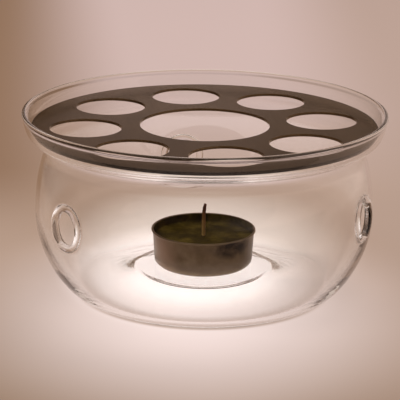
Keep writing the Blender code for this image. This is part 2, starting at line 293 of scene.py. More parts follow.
def turned_bmesh(profile, steps, closed, shape=None):
    """Surface of revolution. Points on the axis become poles; shape may move each point."""
    bm = bmesh.new()
    rings = []
    for radius, height in profile:
        if radius < ON_AXIS:
            rings.append([bm.verts.new((0.0, 0.0, height))])
            continue
        ring = []
        for j in range(steps):
            angle = math.tau * j / steps
            place = Vector((radius * math.cos(angle), radius * math.sin(angle), height))
            ring.append(bm.verts.new(shape(place) if shape else place))
        rings.append(ring)
    pairs = list(zip(rings, rings[1:]))
    if closed:
        pairs.append((rings[-1], rings[0]))
    for a, b in pairs:
        if len(a) == len(b) == 1:
            continue
        for j in range(steps):
            k = (j + 1) % steps
            corners = [a[j % len(a)], a[k % len(a)], b[k % len(b)], b[j % len(b)]]
            bm.faces.new(list(dict.fromkeys(corners)))
    return bm


# Materials

def srgb(*channels):
    """Shader colour from 0 to 255 screen values."""
    shares = [channel / 255 for channel in channels]
    return tuple(s / 12.92 if s < 0.04045 else ((s + 0.055) / 1.055) ** 2.4 for s in shares)


def new_material(name):
    material = bpy.data.materials.new(name)
    material.use_nodes = True
    return material, material.node_tree, material.node_tree.nodes["Principled BSDF"]


def add_node(tree, kind, **settings):
    """A node with inputs and attributes set; of several inputs with one name, the first is set."""
    node = tree.nodes.new(kind)
    inputs = {socket.name.lower().replace(" ", "_"): socket for socket in reversed(node.inputs)}
    for key, value in settings.items():
        if key in inputs:
            inputs[key].default_value = value
        else:
            setattr(node, key, value)
    return node


def object_coords(tree, scale=(1.0, 1.0, 1.0)):
    coords = tree.nodes.new("ShaderNodeTexCoord")
    mapping = tree.nodes.new("ShaderNodeMapping")
    mapping.inputs["Scale"].default_value = scale
    tree.links.new(coords.outputs["Object"], mapping.inputs["Vector"])
    return mapping.outputs["Vector"]


def noise_value(tree, vector, scale, detail=4.0, roughness=0.55):
    texture = add_node(tree, "ShaderNodeTexNoise", scale=scale, detail=detail, roughness=roughness)
    tree.links.new(vector, texture.inputs["Vector"])
    return texture.outputs["Fac"]


def ramp(tree, factor, stops):
    """Colour ramp from (position, colour) stops."""
    node = tree.nodes.new("ShaderNodeValToRGB")
    elements = node.color_ramp.elements
    while len(elements) < len(stops):
        elements.new(0.5)
    for element, (position, color) in zip(elements, stops):
        element.position = position
        element.color = (*color, 1.0)
    tree.links.new(factor, node.inputs["Fac"])
    return node.outputs["Color"]


def spread(tree, value, low, high, start=0.0, end=1.0):
    """A value's range moved to low..high."""
    node = add_node(tree, "ShaderNodeMapRange", from_min=start, from_max=end, to_min=low, to_max=high)
    tree.links.new(value, node.inputs["Value"])
    return node.outputs["Result"]


def ease(tree, value, start, end):
    """A smooth step from 0 at start to 1 at end."""
    node = add_node(tree, "ShaderNodeMapRange", from_min=start, from_max=end)
    node.interpolation_type = "SMOOTHSTEP"
    tree.links.new(value, node.inputs["Value"])
    return node.outputs["Result"]


def split_axes(tree, coords):
    """X, Y and Z of the shaded point."""
    split = tree.nodes.new("ShaderNodeSeparateXYZ")
    tree.links.new(coords.outputs["Object"], split.inputs["Vector"])
    return split.outputs["X"], split.outputs["Y"], split.outputs["Z"]


def multiply(tree, first, second):
    """A value times another value or a plain number."""
    node = add_node(tree, "ShaderNodeMath", operation="MULTIPLY")
    tree.links.new(first, node.inputs[0])
    if isinstance(second, float):
        node.inputs[1].default_value = second
    else:
        tree.links.new(second, node.inputs[1])
    return node.outputs["Value"]


def either(tree, first, second):
    """The larger of two values."""
    node = add_node(tree, "ShaderNodeMath", operation="MAXIMUM")
    tree.links.new(first, node.inputs[0])
    tree.links.new(second, node.inputs[1])
    return node.outputs["Value"]


def mix_shaders(tree, factor, first, second):
    """The first shader where the factor is 0, and the second where it is 1."""
    node = tree.nodes.new("ShaderNodeMixShader")
    tree.links.new(factor, node.inputs["Fac"])
    tree.links.new(first, node.inputs[1])
    tree.links.new(second, node.inputs[2])
    return node.outputs["Shader"]


def blend(tree, factor, first, second):
    """Colour mix from a socket towards a plain colour."""
    node = add_node(tree, "ShaderNodeMix", data_type="RGBA")
    tree.links.new(factor, node.inputs[0])
    tree.links.new(first, node.inputs[6])
    node.inputs[7].default_value = (*second, 1.0)
    return node.outputs[2]


def distance_from(tree, coords, centre, scale):
    """Distance of the shaded point from a centre, with each axis scaled."""
    away = add_node(tree, "ShaderNodeVectorMath", operation="SUBTRACT")
    away.inputs[1].default_value = centre
    tree.links.new(coords.outputs["Object"], away.inputs[0])
    scaled = add_node(tree, "ShaderNodeVectorMath", operation="MULTIPLY")
    scaled.inputs[1].default_value = scale
    tree.links.new(away.outputs["Vector"], scaled.inputs[0])
    length = add_node(tree, "ShaderNodeVectorMath", operation="LENGTH")
    tree.links.new(scaled.outputs["Vector"], length.inputs[0])
    return length.outputs["Value"]


def bump(tree, shader, height, strength, distance):
    node = add_node(tree, "ShaderNodeBump", strength=strength, distance=distance)
    tree.links.new(height, node.inputs["Height"])
    tree.links.new(node.outputs["Normal"], shader.inputs["Normal"])


def glass_material():
    """Clear borosilicate, faintly smeared and wavy.

    Lamps and light bounced off dull surfaces pass straight through, a little less where they graze it.
    Light that the wall has trapped leaves it after GLASS_TURNS bounces.
    """
    material, tree, shader = new_material("clear_glass")
    shader.inputs["Base Color"].default_value = (0.985, 0.98, 0.97, 1.0)
    shader.inputs["Transmission Weight"].default_value = 1.0
    shader.inputs["IOR"].default_value = 1.47
    smears = noise_value(tree, object_coords(tree), scale=45.0, detail=3.0)
    smeared = spread(tree, smears, low=0.0, high=0.025, start=0.45, end=0.8)
    tree.links.new(smeared, shader.inputs["Roughness"])
    waves = noise_value(tree, object_coords(tree, (1.0, 1.0, 0.35)), scale=60.0, detail=1.0)
    bump(tree, shader, waves, strength=0.03, distance=1.0 * MM)

    path = tree.nodes.new("ShaderNodeLightPath")
    lamp_or_bounce = either(tree, path.outputs["Is Shadow Ray"], path.outputs["Is Diffuse Ray"])
    trapped = add_node(tree, "ShaderNodeMath", operation="GREATER_THAN")
    trapped.inputs[1].default_value = GLASS_TURNS
    tree.links.new(path.outputs["Ray Depth"], trapped.inputs[0])
    passing = either(tree, lamp_or_bounce, trapped.outputs["Value"])
    facing = add_node(tree, "ShaderNodeLayerWeight", blend=0.35)
    square_on = (0.97, 0.965, 0.955)
    grazed = (0.45, 0.4, 0.36)
    let_through = ramp(tree, facing.outputs["Facing"], [(0.0, square_on), (1.0, grazed)])
    clear = tree.nodes.new("ShaderNodeBsdfTransparent")
    tree.links.new(let_through, clear.inputs["Color"])
    mixed = mix_shaders(tree, passing, shader.outputs["BSDF"], clear.outputs["BSDF"])
    tree.links.new(mixed, tree.nodes["Material Output"].inputs["Surface"])
    return material


def disc_material(rim):
    """Dark satin steel, faintly mottled, with rolling grain and painted shade that darkens the cut edge.
    """
    material, tree, shader = new_material("dark_steel")
    shader.inputs["Metallic"].default_value = 1.0
    shader.inputs["Specular Tint"].default_value = (0.96, 0.93, 0.86, 1.0)
    deep = (0.112, 0.076, 0.043)
    light = (0.168, 0.118, 0.066)
    edge_shade = (0.015, 0.011, 0.009)
    mottle = noise_value(tree, object_coords(tree), scale=70.0, detail=6.0)
    color = ramp(tree, mottle, [(0.3, deep), (0.7, light)])
    place = tree.nodes.new("ShaderNodeTexCoord")
    from_axis = distance_from(tree, place, centre=(0.0, 0.0, 0.0), scale=(1.0, 1.0, 0.0))
    # painted shade: the sheet turns near black towards its rim, where the cut edge lies in shade
    edge = ease(tree, from_axis, rim - DISC_EDGE_SHADE[0], rim - DISC_EDGE_SHADE[1])
    color = blend(tree, multiply(tree, edge, DISC_EDGE_SHADE_SHARE), color, edge_shade)
    tree.links.new(color, shader.inputs["Base Color"])
    grain = noise_value(tree, object_coords(tree, (1.0, 0.06, 1.0)), scale=900.0, detail=3.0)
    tree.links.new(spread(tree, grain, low=0.16, high=0.26), shader.inputs["Roughness"])
    bump(tree, shader, grain, strength=0.03, distance=0.05 * MM)
    return material


def cup_material(foot, top):
    """Thin drawn aluminium, warm and stained, with a darker patch near the top; painted light pales the
    foot, a painted sheen lightens the left side and a painted highlight runs below the edge.
    """
    material, tree, shader = new_material("cup_aluminium")
    shader.inputs["Metallic"].default_value = 1.0
    deep = (0.085, 0.058, 0.032)
    light = (0.18, 0.132, 0.084)
    painted_sheen = (0.27, 0.185, 0.13)
    foot_light = (0.25, 0.19, 0.13)
    dark_patch = (0.012, 0.009, 0.008)
    rim_highlight = (0.42, 0.33, 0.22)
    coords = object_coords(tree)
    place = tree.nodes.new("ShaderNodeTexCoord")
    _, _, z = split_axes(tree, place)
    stain = noise_value(tree, coords, scale=160.0, detail=5.0)
    color = ramp(tree, stain, [(0.3, deep), (0.7, light)])
    # painted sheen: the cup's left side is lighter, standing in for a broad reflection
    wear_and_sheen = distance_from(tree, place, SHEEN_PLACE, scale=(1.0, 1.0, 0.6))
    color = blend(tree, ease(tree, wear_and_sheen, *SHEEN_FADE), color, painted_sheen)
    # painted light: the cup turns paler towards its foot, as if lit from the bright floor
    low_down = ease(tree, z, foot + FOOT_LIGHT_FADE[0], foot + FOOT_LIGHT_FADE[1])
    color = blend(tree, multiply(tree, low_down, FOOT_LIGHT_SHARE), color, foot_light)
    # darker patch near the top on the front right
    near = ease(tree, distance_from(tree, place, DARK_PATCH_PLACE, scale=(0.8, 0.8, 1.8)), *DARK_PATCH_FADE)
    patchy = spread(tree, noise_value(tree, coords, scale=260.0), low=0.35, high=1.0, start=0.35, end=0.55)
    color = blend(tree, multiply(tree, near, patchy), color, dark_patch)
    # painted highlight: a pale band just below the cup's edge
    edge = ease(tree, z, top - RIM_HIGHLIGHT_FADE[0], top - RIM_HIGHLIGHT_FADE[1])
    color = blend(tree, multiply(tree, edge, RIM_HIGHLIGHT_SHARE), color, rim_highlight)
    tree.links.new(color, shader.inputs["Base Color"])
    marks = noise_value(tree, object_coords(tree, (1.0, 1.0, 0.1)), scale=600.0, detail=3.0)
    tree.links.new(spread(tree, marks, low=0.24, high=0.4), shader.inputs["Roughness"])
    wrinkles = noise_value(tree, object_coords(tree, (1.0, 1.0, 0.5)), scale=220.0, detail=3.0)
    bump(tree, shader, wrinkles, strength=0.12, distance=0.3 * MM)
    return material


def wax_material():
    """Dark olive wax, cloudy and flecked, a little translucent."""
    material, tree, shader = new_material("olive_wax")
    deep = (0.018, 0.012, 0.001)
    olive = (0.055, 0.038, 0.004)
    fleck = (0.14, 0.1, 0.018)
    coords = object_coords(tree)
    cloud = noise_value(tree, coords, scale=150.0, detail=6.0, roughness=0.65)
    color = ramp(tree, cloud, [(0.32, deep), (0.5, olive), (0.68, fleck)])
    tree.links.new(color, shader.inputs["Base Color"])
    shader.inputs["Specular IOR Level"].default_value = 0.005
    shader.inputs["Subsurface Weight"].default_value = 0.15
    shader.inputs["Subsurface Radius"].default_value = (1.0, 0.8, 0.2)
    shader.inputs["Subsurface Scale"].default_value = 0.6 * MM
    tree.links.new(spread(tree, cloud, low=0.55, high=0.75), shader.inputs["Roughness"])
    pits = noise_value(tree, coords, scale=500.0, detail=4.0)
    bump(tree, shader, pits, strength=0.3, distance=0.25 * MM)
    return material


def wick_material(tip_height):
    """Waxed cotton strands, browned towards a charred tip."""
    material, tree, shader = new_material("waxed_cotton")
    shader.inputs["Sheen Weight"].default_value = 0.2
    waxed = (0.6, 0.4, 0.12)
    browned = (0.46, 0.26, 0.08)
    charred = (0.16, 0.06, 0.035)
    _, _, z = split_axes(tree, tree.nodes.new("ShaderNodeTexCoord"))
    height = spread(tree, z, low=0.0, high=1.0, start=tip_height - WICK_BROWNED, end=tip_height)
    fibre = noise_value(tree, object_coords(tree, (1.0, 1.0, 0.3)), scale=2500.0, detail=3.0)
    mixed = add_node(tree, "ShaderNodeMath", operation="MULTIPLY_ADD")
    mixed.inputs[1].default_value = FIBRE_SHARE
    tree.links.new(fibre, mixed.inputs[0])
    tree.links.new(height, mixed.inputs[2])
    color = ramp(tree, mixed.outputs["Value"], [(0.1, waxed), (0.6, browned), (1.0, charred)])
    tree.links.new(color, shader.inputs["Base Color"])
    tree.links.new(spread(tree, fibre, low=0.55, high=0.9), shader.inputs["Roughness"])
    bump(tree, shader, fibre, strength=0.4, distance=0.1 * MM)
    return material


def tin_material():
    """Bright tin with a fine spangle."""
    material, tree, shader = new_material("tinned_steel")
    shader.inputs["Metallic"].default_value = 1.0
    deep = (0.48, 0.46, 0.43)
    light = (0.62, 0.6, 0.57)
    spangle = noise_value(tree, object_coords(tree), scale=500.0, detail=4.0)
    color = ramp(tree, spangle, [(0.3, deep), (0.7, light)])
    tree.links.new(color, shader.inputs["Base Color"])
    tree.links.new(spread(tree, spangle, low=0.25, high=0.45), shader.inputs["Roughness"])
    return material


# Glass bowl

class CentreLine:
    """Centre line of the glass wall from the lip to the axis, found by its length."""

    def __init__(self):
        low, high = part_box("glass_bowl")
        half = WALL / 2
        base_half = BASE_WALL / 2
        down = (0.0, -1.0)
        inward = (-1.0, 0.0)
        lip = Vector((high.x - LIP_BEAD / 2, high.z - LIP_BEAD / 2))
        collar_dir = Vector((-math.sin(COLLAR_LEAN), -math.cos(COLLAR_LEAN)))
        lip_end = lip + collar_dir * LIP_BLEND
        throat = (THROAT_RADIUS + half, high.z - COLLAR_DEPTH)
        belly = (BELLY_RADIUS - half, BELLY_HEIGHT)
        foot = (FOOT_RADIUS, low.z + base_half)
        foot_inside = (FOOT_RADIUS - FOOT_FLAT, low.z + base_half)
        platform = (PLATFORM_RADIUS, low.z + PLATFORM_HEIGHT - PLATFORM_WALL / 2)
        runs = [
            [(lip, collar_dir)],
            bezier_run(lip_end, collar_dir, throat, down, COLLAR_PULLS, RUN_POINTS),
            bezier_run(throat, down, belly, down, SHOULDER_PULLS, RUN_POINTS),
            bezier_run(belly, down, foot, inward, LOWER_PULLS, RUN_POINTS),
            bezier_run(foot_inside, inward, platform, inward, RISE_PULLS, RUN_POINTS),
        ]
        self.stations = [station for run in runs for station in run]
        self.stations.append((Vector((0.0, platform[1])), Vector(inward)))
        self.lengths = [0.0]
        for (a, _), (b, _) in zip(self.stations, self.stations[1:]):
            self.lengths.append(self.lengths[-1] + (b - a).length)
        self.total = self.lengths[-1]
        self.belly_length = self.lengths[2 * RUN_POINTS]
        self.foot_length = self.lengths[3 * RUN_POINTS]
        self.platform_length = self.lengths[4 * RUN_POINTS]

    def at(self, length):
        """Point and outward direction at a length from the lip."""
        i = min(max(bisect.bisect_right(self.lengths, length), 1), len(self.lengths) - 1)
        step = self.lengths[i] - self.lengths[i - 1]
        share = (length - self.lengths[i - 1]) / step if step else 0.0
        (a, a_dir), (b, b_dir) = self.stations[i - 1], self.stations[i]
        heading = a_dir.lerp(b_dir, share).normalized()
        return a.lerp(b, share), Vector((-heading.y, heading.x))

    def half_wall(self, length):
        if length < LIP_BLEND:
            return (WALL + (LIP_BEAD - WALL) * (1.0 + math.cos(math.pi * length / LIP_BLEND)) / 2) / 2
        lower = (length - self.belly_length) / (self.foot_length - self.belly_length)
        rise = (length - self.foot_length) / (self.platform_length - self.foot_length)
        wall = WALL + (BASE_WALL - WALL) * min(max(lower, 0.0), 1.0)
        return (wall + (PLATFORM_WALL - BASE_WALL) * min(max(rise, 0.0), 1.0)) / 2

    def length_at_height(self, height):
        for i, (point, _) in enumerate(self.stations):
            if point.y <= height:
                return self.lengths[i]
        raise ValueError("the bowl has no wall at this height")


def blown(place):
    """The slight unevenness of a blown wall: three twisting waves round it, and five upright ones."""
    angle = math.atan2(place.y, place.x)
    swell = SWELL_THREE * math.sin(3 * angle + place.z / SWELL_TWIST)
    swell += SWELL_FIVE * math.sin(5 * angle + SWELL_SHIFT)
    radius = math.hypot(place.x, place.y)
    share = 1.0 + swell / max(radius, SWELL_CORE)
    return Vector((place.x * share, place.y * share, place.z))


def bead_section(half_wall):
    """One side of a vent's bead, from the hole's edge round to the wall's face.

    Points give the distance out from the bead's middle ring and the height above the wall's middle.
    """
    bead = VENT_BEAD / 2
    rise = half_wall + VENT_FILLET
    reach = math.sqrt((bead + VENT_FILLET) ** 2 - rise ** 2)
    meet = math.degrees(math.atan2(rise, reach))
    section = arc_points((0.0, 0.0), bead, 180.0, meet, VENT_ROUND_STEPS)[1:]
    return section + arc_points((reach, rise), VENT_FILLET, meet - 180.0, -90.0, VENT_FILLET_STEPS)[1:]


class BowlMesh:
    """The bowl as two offset skins that meet over the lip and in each vent's bead."""

    def __init__(self, line):
        self.line = line
        self.bm = bmesh.new()
        self.turn = math.tau / BOWL_COLUMNS
        lip_rows = [LIP_BLEND * i / LIP_STEPS for i in range(LIP_STEPS)]
        count = round((line.total - LIP_BLEND) / BOWL_ROW)
        self.rows = lip_rows + [LIP_BLEND + (line.total - LIP_BLEND) * i / count for i in range(count + 1)]
        vents = [opening_middle(name) for name in OPENINGS if name.startswith("vent_")]
        self.vents = [self.vent_window(vent) for vent in vents]

    def vent_window(self, middle):
        """Rows and columns that a vent's round patch takes the place of."""
        length = self.line.length_at_height(middle.z)
        column = round(math.atan2(middle.y, middle.x) / self.turn)
        first = bisect.bisect_left(self.rows, length - VENT_WINDOW_HEIGHT)
        last = bisect.bisect_left(self.rows, length + VENT_WINDOW_HEIGHT)
        return {"length": length, "column": column, "first": first, "last": last}

    def place(self, length, angle, offset):
        point, outward = self.line.at(length)
        radius = point.x + outward.x * offset
        height = point.y + outward.y * offset
        return blown(Vector((radius * math.cos(angle), radius * math.sin(angle), height)))

    def columns_from(self, vent, j):
        """Signed columns from a vent's middle."""
        return (j - vent["column"] + BOWL_COLUMNS // 2) % BOWL_COLUMNS - BOWL_COLUMNS // 2

    def in_patch(self, i, j, cell):
        """Whether a grid point, or the cell after it, is replaced by a vent's patch."""
        edge = 0 if cell else 1
        for vent in self.vents:
            across = self.columns_from(vent, j)
            low = -VENT_WINDOW_COLUMNS + edge
            if vent["first"] + edge <= i < vent["last"] and low <= across < VENT_WINDOW_COLUMNS:
                return True
        return False

    def skin(self, side):
        """Grid of one side of the wall, +1 outside and -1 inside, with room left for the vents."""
        grid = {}
        for i, length in enumerate(self.rows[:-1]):
            offset = side * self.line.half_wall(length)
            for j in range(BOWL_COLUMNS):
                if not self.in_patch(i, j, cell=False):
                    grid[i, j] = self.bm.verts.new(self.place(length, j * self.turn, offset))
        last = len(self.rows) - 2
        pole = self.bm.verts.new(self.place(self.rows[-1], 0.0, side * self.line.half_wall(self.rows[-1])))
        for j in range(BOWL_COLUMNS):
            k = (j + 1) % BOWL_COLUMNS
            for i in range(last):
                if not self.in_patch(i, j, cell=True):
                    self.bm.faces.new([grid[i, j], grid[i, k], grid[i + 1, k], grid[i + 1, j]])
            self.bm.faces.new([grid[last, j], grid[last, k], pole])
        return grid

    def join(self, ring, other):
        """Faces between two closed rings."""
        count = len(ring)
        for j in range(count):
            k = (j + 1) % count
            self.bm.faces.new([ring[j], ring[k], other[k], other[j]])

    def lip(self, outer, inner):
        """Half-round lip between the two skins."""
        point, outward = self.line.at(0.0)
        up = Vector((-outward.y, outward.x))
        half = self.line.half_wall(0.0)
        previous = [outer[0, j] for j in range(BOWL_COLUMNS)]
        for step in range(1, LIP_STEPS):
            angle = math.pi * step / LIP_STEPS
            spot = point + (outward * math.cos(angle) + up * math.sin(angle)) * half
            ring = []
            for j in range(BOWL_COLUMNS):
                turn = j * self.turn
                around = Vector((spot.x * math.cos(turn), spot.x * math.sin(turn), spot.y))
                ring.append(self.bm.verts.new(blown(around)))
            self.join(previous, ring)
            previous = ring
        self.join(previous, [inner[0, j] for j in range(BOWL_COLUMNS)])

    def window_edge(self, vent):
        """Grid points round a vent's window, in order."""
        first, last = vent["first"], vent["last"]
        left = vent["column"] - VENT_WINDOW_COLUMNS
        right = vent["column"] + VENT_WINDOW_COLUMNS
        edge = [(first, j) for j in range(left, right)]
        edge += [(i, right) for i in range(first, last)]
        edge += [(last, j) for j in range(right, left, -1)]
        edge += [(i, left) for i in range(last, first, -1)]
        return [(i, j % BOWL_COLUMNS) for i, j in edge]

    def vent(self, vent, grids):
        """Round patch that thickens into the bead and closes over the hole's edge."""
        crest, _ = self.line.at(vent["length"])
        middle_angle = vent["column"] * self.turn
        ring_radius = (VENT_OPENING + VENT_BEAD) / 2
        section = bead_section(self.line.half_wall(vent["length"]))
        edge = self.window_edge(vent)
        flat = []
        for i, j in edge:
            across = self.columns_from(vent, j) * self.turn * crest.x
            flat.append(Vector((across, self.rows[i] - vent["length"])))

        def spot(where, side, height):
            length = vent["length"] + where.y
            return self.bm.verts.new(self.place(length, middle_angle + where.x / crest.x, side * height))

        hole = [spot(where.normalized() * (ring_radius - VENT_BEAD / 2), 1, 0.0) for where in flat]
        for side in (1, -1):
            previous = hole
            for outset, height in section:
                ring = [spot(where.normalized() * (ring_radius + outset), side, height) for where in flat]
                self.join(previous, ring)
                previous = ring
            for step in range(1, VENT_SPREAD_STEPS):
                share = step / VENT_SPREAD_STEPS
                ring = []
                for where in flat:
                    place = (where.normalized() * (ring_radius + section[-1][0])).lerp(where, share)
                    ring.append(spot(place, side, self.line.half_wall(vent["length"] + place.y)))
                self.join(previous, ring)
                previous = ring
            self.join(previous, [grids[side][at] for at in edge])

    def build(self):
        grids = {1: self.skin(1), -1: self.skin(-1)}
        self.lip(grids[1], grids[-1])
        for vent in self.vents:
            self.vent(vent, grids)
        return self.bm


def build_bowl():
    bowl = mesh_piece("bowl", BowlMesh(CentreLine()).build(), glass_material())
    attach(bowl, "bowl")
    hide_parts("glass_bowl")


# Disc

def disc_profile(low, high):
    """Section of the flat sheet, with its edges broken."""
    inner, outer = CENTRE_HOLE_RADIUS, high.x
    return [(inner, low.z + HOLE_BREAK), (inner, high.z - HOLE_BREAK), (inner + HOLE_BREAK, high.z),
            (outer - HOLE_BREAK, high.z), (outer, high.z - HOLE_BREAK),
            (outer, low.z + HOLE_BREAK), (outer - HOLE_BREAK, low.z), (inner + HOLE_BREAK, low.z)]


def ring_hole_cutter(top):
    """Cutters for the ring of holes, flared at both faces to break the edges."""
    bm = bmesh.new()
    under = top - DISC_SHEET
    reach = DISC_SHEET
    wide = RING_HOLE_RADIUS + HOLE_BREAK
    outline = [(0.0, top + reach), (wide + reach, top + reach), (RING_HOLE_RADIUS, top - HOLE_BREAK),
               (RING_HOLE_RADIUS, under + HOLE_BREAK), (wide + reach, under - reach), (0.0, under - reach)]
    for name in OPENINGS:
        if name.startswith("disc_ring_hole"):
            middle = opening_middle(name)
            cutter = turned_bmesh(outline, HOLE_STEPS, closed=False)
            bmesh.ops.translate(cutter, verts=cutter.verts, vec=(middle.x, middle.y, 0.0))
            mesh = bpy.data.meshes.new("cutter")
            cutter.to_mesh(mesh)
            cutter.free()
            bm.from_mesh(mesh)
            bpy.data.meshes.remove(mesh)
    bmesh.ops.recalc_face_normals(bm, faces=bm.faces)
    mesh = bpy.data.meshes.new("cutter")
    bm.to_mesh(mesh)
    bm.free()
    cutter = bpy.data.objects.new("cutter", mesh)
    bpy.context.scene.collection.objects.link(cutter)
    return cutter


def build_disc():
    low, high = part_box("perforated_disc")
    sheet = turned_bmesh(disc_profile(low, high), DISC_STEPS, closed=True)
    disc = mesh_piece("disc", sheet, disc_material(rim=high.x))
    cutter = ring_hole_cutter(high.z)
    cut = disc.modifiers.new("Ring of holes", "BOOLEAN")
    cut.operation = "DIFFERENCE"
    cut.object = cutter
    evaluated = disc.evaluated_get(bpy.context.evaluated_depsgraph_get())
    mesh = bpy.data.meshes.new_from_object(evaluated)
    disc.modifiers.clear()
    disc.data = mesh
    bpy.data.objects.remove(cutter, do_unlink=True)
    mesh.shade_smooth()
    mesh.set_sharp_from_angle(angle=DISC_CREASE)
    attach(disc, "disc")
    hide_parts("perforated_disc")


# Tealight

def cup_profile(low, high):
    """Section of the cup's sheet: down the outside from the rolled rim, and back up the inside."""
    half = CUP_SHEET / 2
    top = high.z
    foot = low.z
    roll = (high.x - half - CUP_ROLL, top - half - CUP_ROLL)
    corner = (CUP_BASE_RADIUS - half - CUP_CORNER, foot + half + CUP_CORNER)
    kick_start = (corner[0] - CUP_FOOT_WIDTH, foot)
    kick_end = (kick_start[0] - CUP_KICK_WIDTH, foot + CUP_KICK)
    inward = (-1.0, 0.0)
    kick_run = bezier_run(kick_start, inward, kick_end, inward, pulls=(0.4, 0.4), count=6)
    kick = [point for point, _ in kick_run]
    outer_wall = (roll[0] - CUP_ROLL + half, roll[1])
    outer_corner = arc_points(corner, CUP_CORNER + half, 0.0, -90.0, count=8)
    inner_wall = (roll[0] - CUP_ROLL - half, roll[1])
    inner_corner = arc_points(corner, CUP_CORNER - half, -90.0, 0.0, count=6)
    rise = Vector((0.0, CUP_SHEET))

    profile = arc_points(roll, CUP_ROLL + half, 180.0, 0.0, count=14)
    profile += arc_points((roll[0] + CUP_ROLL, roll[1]), half, 0.0, -180.0, count=5)[1:]
    profile += arc_points(roll, CUP_ROLL - half, 0.0, 180.0, count=8)[1:]
    profile += line_points(outer_wall, outer_corner[0], CUP_WALL_STEPS)[1:-1]
    profile += outer_corner + kick + [(0.0, foot + CUP_KICK)]
    profile += [(0.0, foot + CUP_KICK + CUP_SHEET)] + [point + rise for point in reversed(kick)]
    profile += inner_corner + line_points(inner_corner[-1], inner_wall, CUP_WALL_STEPS)[1:-1]
    return profile


def dented(place):
    """Shallow dents and ripples of thin sheet."""
    angle = math.atan2(place.y, place.x)
    x = DENT_PACE * math.cos(angle)
    y = DENT_PACE * math.sin(angle)
    dent = noise.noise(Vector((x, y, place.z / DENT_HEIGHT)))
    ripple = math.sin(RIPPLES * angle + RIPPLE_SWAY * dent)
    share = 1.0 + (DENT_DEPTH * dent + RIPPLE_DEPTH * ripple) / CUP_RADIUS
    return Vector((place.x * share, place.y * share, place.z))


def build_cup(wax):
    """The cup; a film of wax lies on its inside."""
    low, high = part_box("tealight_cup")
    sheet = turned_bmesh(cup_profile(low, high), CUP_STEPS, closed=True, shape=dented)
    cup = mesh_piece("cup", sheet, cup_material(foot=low.z, top=high.z))
    cup.data.materials.append(wax)
    for face in cup.data.polygons:
        across = Vector((face.center.x, face.center.y, 0.0)).normalized()
        looks_inward = across.dot(face.normal) < -0.5
        if looks_inward and face.center.z < high.z - CUP_SHEET:
            face.material_index = 1
    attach(cup, "tealight")
    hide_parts("tealight_cup")


def build_wax(material):
    """Set wax that climbs a little at the wick and at the cup."""
    low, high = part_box("candle_wax")
    crest = high.z
    level = crest - WAX_CLIMB
    edge = high.x
    low_edge = CUP_BASE_RADIUS - CUP_SHEET - WAX_GAP
    core = WICK_RADIUS * WAX_CORE
    neck = crest + WAX_NECK
    flat = (1.0, 0.0)
    at_wick = bezier_run((core, neck), (1.0, -1.0), (core + WAX_CLIMB_WIDTH, level), flat,
                         WAX_CLIMB_PULLS, WAX_CLIMB_STEPS)
    at_cup = bezier_run((edge - WAX_CLIMB_WIDTH, level), flat, (edge, crest), (1.0, 1.0),
                        WAX_CLIMB_PULLS[::-1], WAX_CLIMB_STEPS)
    profile = [(0.0, neck)] + [point for point, _ in at_wick]
    profile += line_points(at_wick[-1][0], at_cup[0][0], WAX_FLAT_STEPS)[1:-1]
    profile += [point for point, _ in at_cup]
    profile += line_points((edge, crest), (low_edge, low.z + WAX_BEVEL), WAX_SIDE_STEPS)[1:]
    profile += [(low_edge - WAX_BEVEL, low.z), (0.0, low.z)]

    def settled(place):
        """Skin of set wax: gently uneven where it is flat."""
        if place.z < level - WAX_SKIN:
            return place
        uneven = sum(noise.noise(place / width) * height for width, height in WAX_WAVES)
        return place + Vector((0.0, 0.0, uneven))

    wax = mesh_piece("wax", turned_bmesh(profile, CUP_STEPS, closed=False, shape=settled), material)
    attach(wax, "tealight")
    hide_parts("candle_wax")


def wick_run(low, high, wax_top):
    """Points and headings from the wick's foot in the wax up to its tip, in the plane of its lean."""
    upward = (0.0, 1.0)
    tip = (high.x - WICK_TIP_INSET[0], high.z - WICK_TIP_INSET[1])
    run = []
    for i in range(WICK_ROOT_STEPS):
        height = low.z + (wax_top - low.z) * i / WICK_ROOT_STEPS
        run.append((Vector((0.0, height)), Vector(upward)))
    return run + bezier_run((0.0, wax_top), upward, tip, WICK_TIP_HEADING, WICK_PULLS, WICK_STEPS)


def build_wick():
    """Three twisted strands in one skin, leaning a little and thinning at the tip."""
    low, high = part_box("wick")
    _, wax_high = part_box("candle_wax")
    run = wick_run(low, high, wax_high.z)
    side = Vector((0.0, 1.0, 0.0))
    bm = bmesh.new()
    rings = []
    length = 0.0
    previous = run[0][0]
    for point, heading in run:
        length += (point - previous).length
        previous = point
        left = max(high.z - point.y, 0.0)
        taper = WICK_TIP_SHARE + (1.0 - WICK_TIP_SHARE) * min(left / WICK_TAPER, 1.0) ** 0.5
        middle = Vector((point.x, 0.0, point.y))
        across = Vector((heading.y, 0.0, -heading.x))
        ring = []
        for j in range(WICK_SIDES):
            angle = math.tau * j / WICK_SIDES
            lobe = abs(math.cos(WICK_STRANDS / 2 * (angle - math.tau * length / WICK_TURN)))
            radius = WICK_RADIUS * taper * (1.0 - WICK_LOBE + WICK_LOBE * lobe)
            outward = across * math.cos(angle) + side * math.sin(angle)
            ring.append(bm.verts.new(middle + outward * radius))
        rings.append(ring)
    for a, b in zip(rings, rings[1:]):
        for j in range(WICK_SIDES):
            k = (j + 1) % WICK_SIDES
            bm.faces.new([a[j], a[k], b[k], b[j]])
    for ring in (rings[0], rings[-1]):
        bm.faces.new(ring)
    wick = mesh_piece("wick_strands", bm, wick_material(high.z))
    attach(wick, "tealight")
    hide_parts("wick")


def dress_sustainer():
    """The sustainer keeps its solid and gets its finish."""
    node = frame["nodes"]["wick_sustainer"]
    node.data.materials.clear()
    node.data.materials.append(tin_material())


# Stage, light and camera

def backdrop_rays(tree):
    """1 for rays that see the backdrop straight, mirrored or through glass, else 0."""
    path = tree.nodes.new("ShaderNodeLightPath")
    direct = either(tree, path.outputs["Is Camera Ray"], path.outputs["Is Glossy Ray"])
    return either(tree, direct, path.outputs["Is Transmission Ray"])


